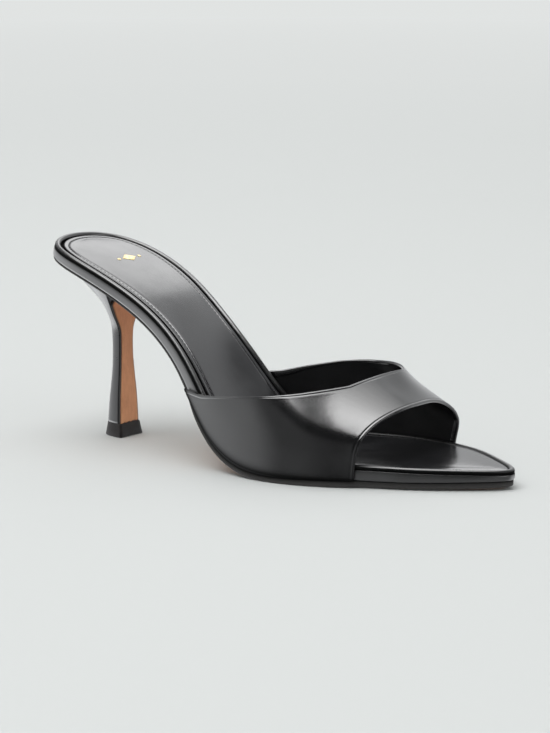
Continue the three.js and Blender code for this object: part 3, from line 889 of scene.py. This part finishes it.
def heel_piece(columns=72, levels=70, across=12):
    back = np.linspace(0, np.pi, columns + 1)
    low, high = np.full(columns + 1, 40.0), np.full(columns + 1, 90.0)
    for _ in range(40):
        mid = (low + high) / 2
        under = mid < seat_z(heel_column(mid, back)[:, 0])
        low, high = np.where(under, mid, low), np.where(under, high, mid)
    k = np.linspace(0, 1, levels + 1)[:, None]
    z = (LIFT + SLACK) + (low - LIFT - SLACK) * k
    walls = heel_column(z, back[None])
    s = np.linspace(0, 1, across + 1)[None, 1:-1, None]
    front = walls[:, -1:] + (walls[:, :1] - walls[:, -1:]) * s
    front[-1, :, 2] = seat_z(front[-1, :, 0])
    loops = np.concatenate([walls, front], 1)
    net = Net().rows(loops, closed=True)
    for rim, on_seat in ((loops[0], False), (loops[-1], True)):
        centre = rim.mean(0)
        centre[2] = seat_z(centre[0]) if on_seat else centre[2]
        steps = [centre + (rim - centre) * share for share in (0.0, 0.34, 0.67, 1.0)]
        for step in steps[1:-1] if on_seat else ():
            step[:, 2] = seat_z(step[:, 0])
        net.rows(steps, closed=True)
    return net.piece("heel_block", [HEEL_LEATHER])


heel_block = heel_piece()

# %% [markdown]
# The breast of the heel is faced with a strip of the same natural leather as the outsole, cut to an arch at
# the top. Its edges are inked, which draws the thin dark line round it.

# %% Breast cover
def cover_piece(rows=90, across=14, shoulder=61.0, rise=5.0, edge=0.5):
    """Loops climb to the shoulder, and then round the arch, where they narrow as an ellipse does."""
    arch_up = np.sin(np.linspace(0, np.pi / 2, 16))[1:-1]
    z = np.r_[np.linspace(LIFT + 0.1, shoulder, rows), shoulder + rise * arch_up]
    over = np.clip((z - shoulder) / rise, 0, 1)
    half = (heel_half(np.minimum(z, shoulder)) - 0.15) * np.sqrt(1 - over**2)
    s = np.linspace(-1, 1, across + 1)
    loops, ink = [], []
    for zz, hh in zip(z, half):
        x = float(heel_breast(zz))
        round_in = 0.16 * np.clip((np.abs(s) * hh - (hh - edge)) / edge, 0, 1) ** 2
        front = np.stack([x - round_in, HEEL_Y + s * hh, np.full(across + 1, zz)], -1)
        rear = front[::-1].copy()
        rear[:, 0] = x - COVER
        loops.append(np.vstack([front, rear]))
        side_line = smoothstep(np.abs(s) * hh, hh - 0.45, hh - 0.15)
        arch_line = smoothstep(zz, shoulder + rise * 0.82, shoulder + rise * 0.97)
        ink.append(np.r_[np.maximum(side_line, arch_line), np.ones(across + 1)])
    net = Net().rows(loops, closed=True, ink=np.array(ink))
    n = across + 1
    for end in (loops[0], loops[-1]):
        net.rows(np.stack([end[:n], end[n:][::-1]]), ink=1.0)
    return net.piece("breast_facing", [COVER_LEATHER])


breast_facing = cover_piece()

# %% [markdown]
# The top piece is the rubber tip that meets the ground. It is moulded, so its edges have a small round and
# its sides a slight draft, and it stands a hair outside the leather above.

# %% Top piece
TIP = np.array([  # z, half width, x of the front, x of the back
    (0.0, 7.0, 35.7, 23.1), (0.08, 7.3, 36.0, 22.8), (0.35, 7.55, TIP_FRONT, 22.6), (3.2, 7.15, 35.75, 23.2),
    (5.7, 6.8, 35.3, 23.75), (6.1, 6.72, 35.2, 23.85), (LIFT, 6.5, 35.0, 24.1)])


def tip_piece(columns=48, across=10):
    a = np.linspace(0, np.pi, columns + 1)
    loops = []
    for z, half, front, back_x in TIP:
        x, y = d_section(half, front, back_x, a)
        x = np.r_[x, np.full(across - 1, front)]
        y = np.r_[y, np.linspace(y[-1], y[0], across + 1)[1:-1]]
        loops.append(np.stack([x, y, np.full(len(x), z)], -1))
    net = Net().rows(loops, closed=True)
    for rim in (loops[0], loops[-1]):
        centre = rim.mean(0)
        net.rows([centre + (rim - centre) * s for s in (0.0, 0.5, 1.0)], closed=True)
    return net.piece("rubber_tip", [RUBBER])


rubber_tip = tip_piece()

# %% [markdown]
# ## Riding on the frame
# Nothing on this shoe moves, so there is one body, called root. Each new piece is attached to it, and the
# CAD solid it stands for is hidden.

# %% Pieces, nodes and slots
for piece, node, slot in (
    (sole_leaf, "outsole", "outsole"),
    (platform_wrap, "platform", "platform_leather"),
    (sock_leaf, "sock", "sock_leather"),
    (vamp_shell, "upper", "upper_leather"),
    (heel_block, "heel", "heel_leather"),
    (breast_facing, "breast_cover", "natural_leather"),
    (rubber_tip, "top_piece", "top_piece"),
):
    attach(piece, "root")
    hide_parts(node)
for piece in (sock_stitches, foil_ornament):
    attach(piece, "root")

# %% [markdown]
# ## Floor, camera and light
# The shoe stands on pale paper that turns up into a wall all round. Only the floor takes light and shadow,
# and the wall glows evenly by itself, so every view ends in the same plain grey. Polished leather shows its
# surroundings, and bright paper mirrored in it would flatten it, so reflections leave the paper out.

# %% Paper floor and wall
FLOOR, PAPER = rgb(0.497, 0.509, 0.505), rgb(0.752, 0.771, 0.764)  # what the floor reflects, the wall's glow


def paper():
    """Rings of points: flat out to 4 m, then a quarter round that turns up into a wall 6 m away."""

    def recipe():
        wall = attribute("wall")
        inputs = {"Base Color": mix(wall, FLOOR, rgb(0, 0, 0)), "Roughness": 0.9, "Specular IOR Level": 0.0}
        inputs["Emission Color"] = mix(wall, rgb(0, 0, 0), PAPER)
        inputs["Emission Strength"] = 1.0
        return inputs, None, 0

    turn = np.linspace(0, np.pi / 2, 13)[1:]
    line = [(r, 0.0) for r in (0.02, 0.3, 0.6, 0.9, 1.3, 1.8, 2.6, 4.0)]
    line += [(4.0 + 2 * np.sin(t), 2 - 2 * np.cos(t)) for t in turn] + [(6.0, 9.0)]
    around = np.linspace(0, 2 * np.pi, 97)[:-1]
    rings = [[(r * np.cos(t), r * np.sin(t), h) for t in around] for r, h in line]
    n = len(around)
    faces = [tuple(range(n))]
    for near in range(0, (len(line) - 1) * n, n):
        faces += [(near + j, near + n + j, near + n + (j + 1) % n, near + (j + 1) % n) for j in range(n)]
    mesh = bpy.data.meshes.new("paper")
    mesh.from_pydata(sum(rings, []), [], faces)
    wall = np.repeat([smoothstep(r + h, 0.6, 2.6) for r, h in line], n)
    mesh.attributes.new("wall", "FLOAT", "POINT").data.foreach_set("value", wall)
    mesh.materials.append(finish("pale_paper", recipe))
    mesh.polygons.foreach_set("use_smooth", [True] * len(mesh.polygons))
    obj = bpy.data.objects.new("paper", mesh)
    bpy.context.scene.collection.objects.link(obj)
    obj.visible_glossy = False


paper()

# %% [markdown]
# The camera stands low, at the toe end on the outer side, far away with a long lens, as for a catalogue. Its
# place is given by its direction and its distance from the middle of the shoe.

# %% Camera
AZIMUTH, ELEVATION, DISTANCE, LENS = np.radians(37.91), np.radians(10.62), 1.415, 158


def aim(obj, target):
    obj.rotation_euler = (Vector(target) - obj.location).to_track_quat("-Z", "Y").to_euler()


camera = bpy.data.objects.new("camera", bpy.data.cameras.new("camera"))
bpy.context.scene.collection.objects.link(camera)
pivot = (np.array([110.0, 0.0, 35.0]) + SHIFT) / 1000
level = np.cos(ELEVATION)
direction = np.array([np.sin(AZIMUTH) * level, -np.cos(AZIMUTH) * level, np.sin(ELEVATION)])
camera.location = pivot + DISTANCE * direction
camera.data.lens = LENS
aim(camera, (0.0035, -0.004, 0.042))
bpy.context.scene.camera = camera
print("camera", [round(v, 3) for v in camera.location], "lens mm", LENS)

# %% [markdown]
# Polished black leather has almost no colour of its own: what the eye reads is the room in it. A wide ceiling
# of soft light is made of eight lights that share one near edge and end further and further out, so its glow
# fades step by step and the highlight on the vamp has a soft side. Two weaker lights stand at the heel and
# the toe. A card darkens the shank where the other shoe of a pair would stand.

# %% Soft lights
def soft_light(name, place_at, target, size, power):
    light = bpy.data.lights.new(name, "AREA")
    light.shape, light.size, light.size_y = "RECTANGLE", size[0], size[1]
    light.energy = power
    obj = bpy.data.objects.new(name, light)
    bpy.context.scene.collection.objects.link(obj)
    obj.location = place_at
    aim(obj, target)
    obj.visible_camera = False


def dark_card(size=(0.055, 0.040), centre=(0.006, 0.078, 0.082), strength=0.7, tilt=0.008):
    """A soft-edged dark card where the other shoe of a pair would stand, seen only by reflections."""
    long, tall = 25, 17
    u, v = np.meshgrid(np.linspace(-1, 1, long), np.linspace(-1, 1, tall), indexing="ij")
    verts = np.stack([centre[0] + size[0] * u, centre[1] + 0 * u, centre[2] + size[1] * v - tilt * u], -1)
    corners = [i * tall + j for i in range(long - 1) for j in range(tall - 1)]
    mesh = bpy.data.meshes.new("dark_card")
    mesh.from_pydata(verts.reshape(-1, 3).tolist(), [], [(k, k + 1, k + tall + 1, k + tall) for k in corners])
    solid = strength * (1 - smoothstep(np.hypot(u, v), 0.35, 1.0)).ravel()
    mesh.attributes.new("solid", "FLOAT", "POINT").data.foreach_set("value", solid)
    m = empty_tree(bpy.data.materials.new("card_black"))
    clear = S.node("ShaderNodeBsdfTransparent")
    black = S.node("ShaderNodeBsdfDiffuse", Color=rgb(0.004, 0.004, 0.004))
    both = S.node("ShaderNodeMixShader", i0=attribute("solid"), i1=clear, i2=black)
    S.node("ShaderNodeOutputMaterial", Surface=both)
    mesh.materials.append(m)
    obj = bpy.data.objects.new("dark_card", mesh)
    bpy.context.scene.collection.objects.link(obj)
    obj.visible_camera = obj.visible_diffuse = obj.visible_shadow = False


OVERHEAD = np.array([  # far edge in metres, share of the brightness that ends there
    (-0.4, 0.12), (0.1, 0.17), (0.5, 0.16), (0.9, 0.14), (1.3, 0.14), (1.75, 0.13), (2.2, 0.10), (2.7, 0.08)])
NEAR_EDGE, CEILING, CEILING_X, CEILING_WIDE = -2.56, 3.2, -0.49, 2.72
CEILING_POWER = 36.0  # watts for each metre of depth, before it is shared
for n, (far, share) in enumerate(OVERHEAD):
    depth, middle = far - NEAR_EDGE, (far + NEAR_EDGE) / 2
    over, under = (CEILING_X, middle, CEILING), (CEILING_X, middle + 0.01, 0)
    soft_light(f"overhead_{n}", over, under, (CEILING_WIDE, depth), CEILING_POWER * share * depth)
soft_light("heel_side", (-1.35, 2.16, 1.63), (-0.04, 0, 0.07), (1.15, 1.3), 7.5)
dark_card()
soft_light("toe_side", (2.6, -0.2, 1.0), (0, 0, 0.04), (2.0, 1.4), 12)
print("soft lights:", len(OVERHEAD), "in the ceiling and 2 at the sides")

# %% [markdown]
# The world behind the lights gives brightness by direction alone: a pale wall at the heel end, a lighter far
# side, a dim corner on the near side, a table below, and a soft glow low at the heel end. Every other
# direction stays dark, which keeps the black of the vamp black.

# %% The room
def room(base=0.03, wall=0.75, corner=0.16, table=0.12, behind=0.64, low_glow=1.5):
    world = empty_tree(bpy.data.worlds.new("room"))
    way = S.node("ShaderNodeTexCoord", out=0)

    def along(direction):
        return S.node("ShaderNodeVectorMath", {"operation": "DOT_PRODUCT"}, out=1, i0=way, i1=direction)

    def toward(degrees, low, high, amount):
        level_way = (np.sin(np.radians(degrees)), np.cos(np.radians(degrees)), 0.0)
        return ramp(along(level_way), low, high, 0.0, amount)

    light = ramp(along((-0.7, 0.0, -0.7)), 0.8, 1.0, 0.0, low_glow)
    light = light + toward(-100, 0.45, 1.0, wall) + toward(-5, 0.2, 0.7, behind)
    light = light + toward(-165, 0.8, 0.95, corner)
    light = light + ramp(along((0.0, 0.0, -1.0)), 0.15, 0.4, 0.0, table) + base
    backdrop = S.node("ShaderNodeBackground", Color=(0.97, 0.985, 1.0, 1.0), Strength=light)
    S.node("ShaderNodeOutputWorld", Surface=backdrop)
    bpy.context.scene.world = world
    print("room", len(world.node_tree.nodes), "nodes")


room()
bpy.context.scene.view_settings.view_transform = "Standard"
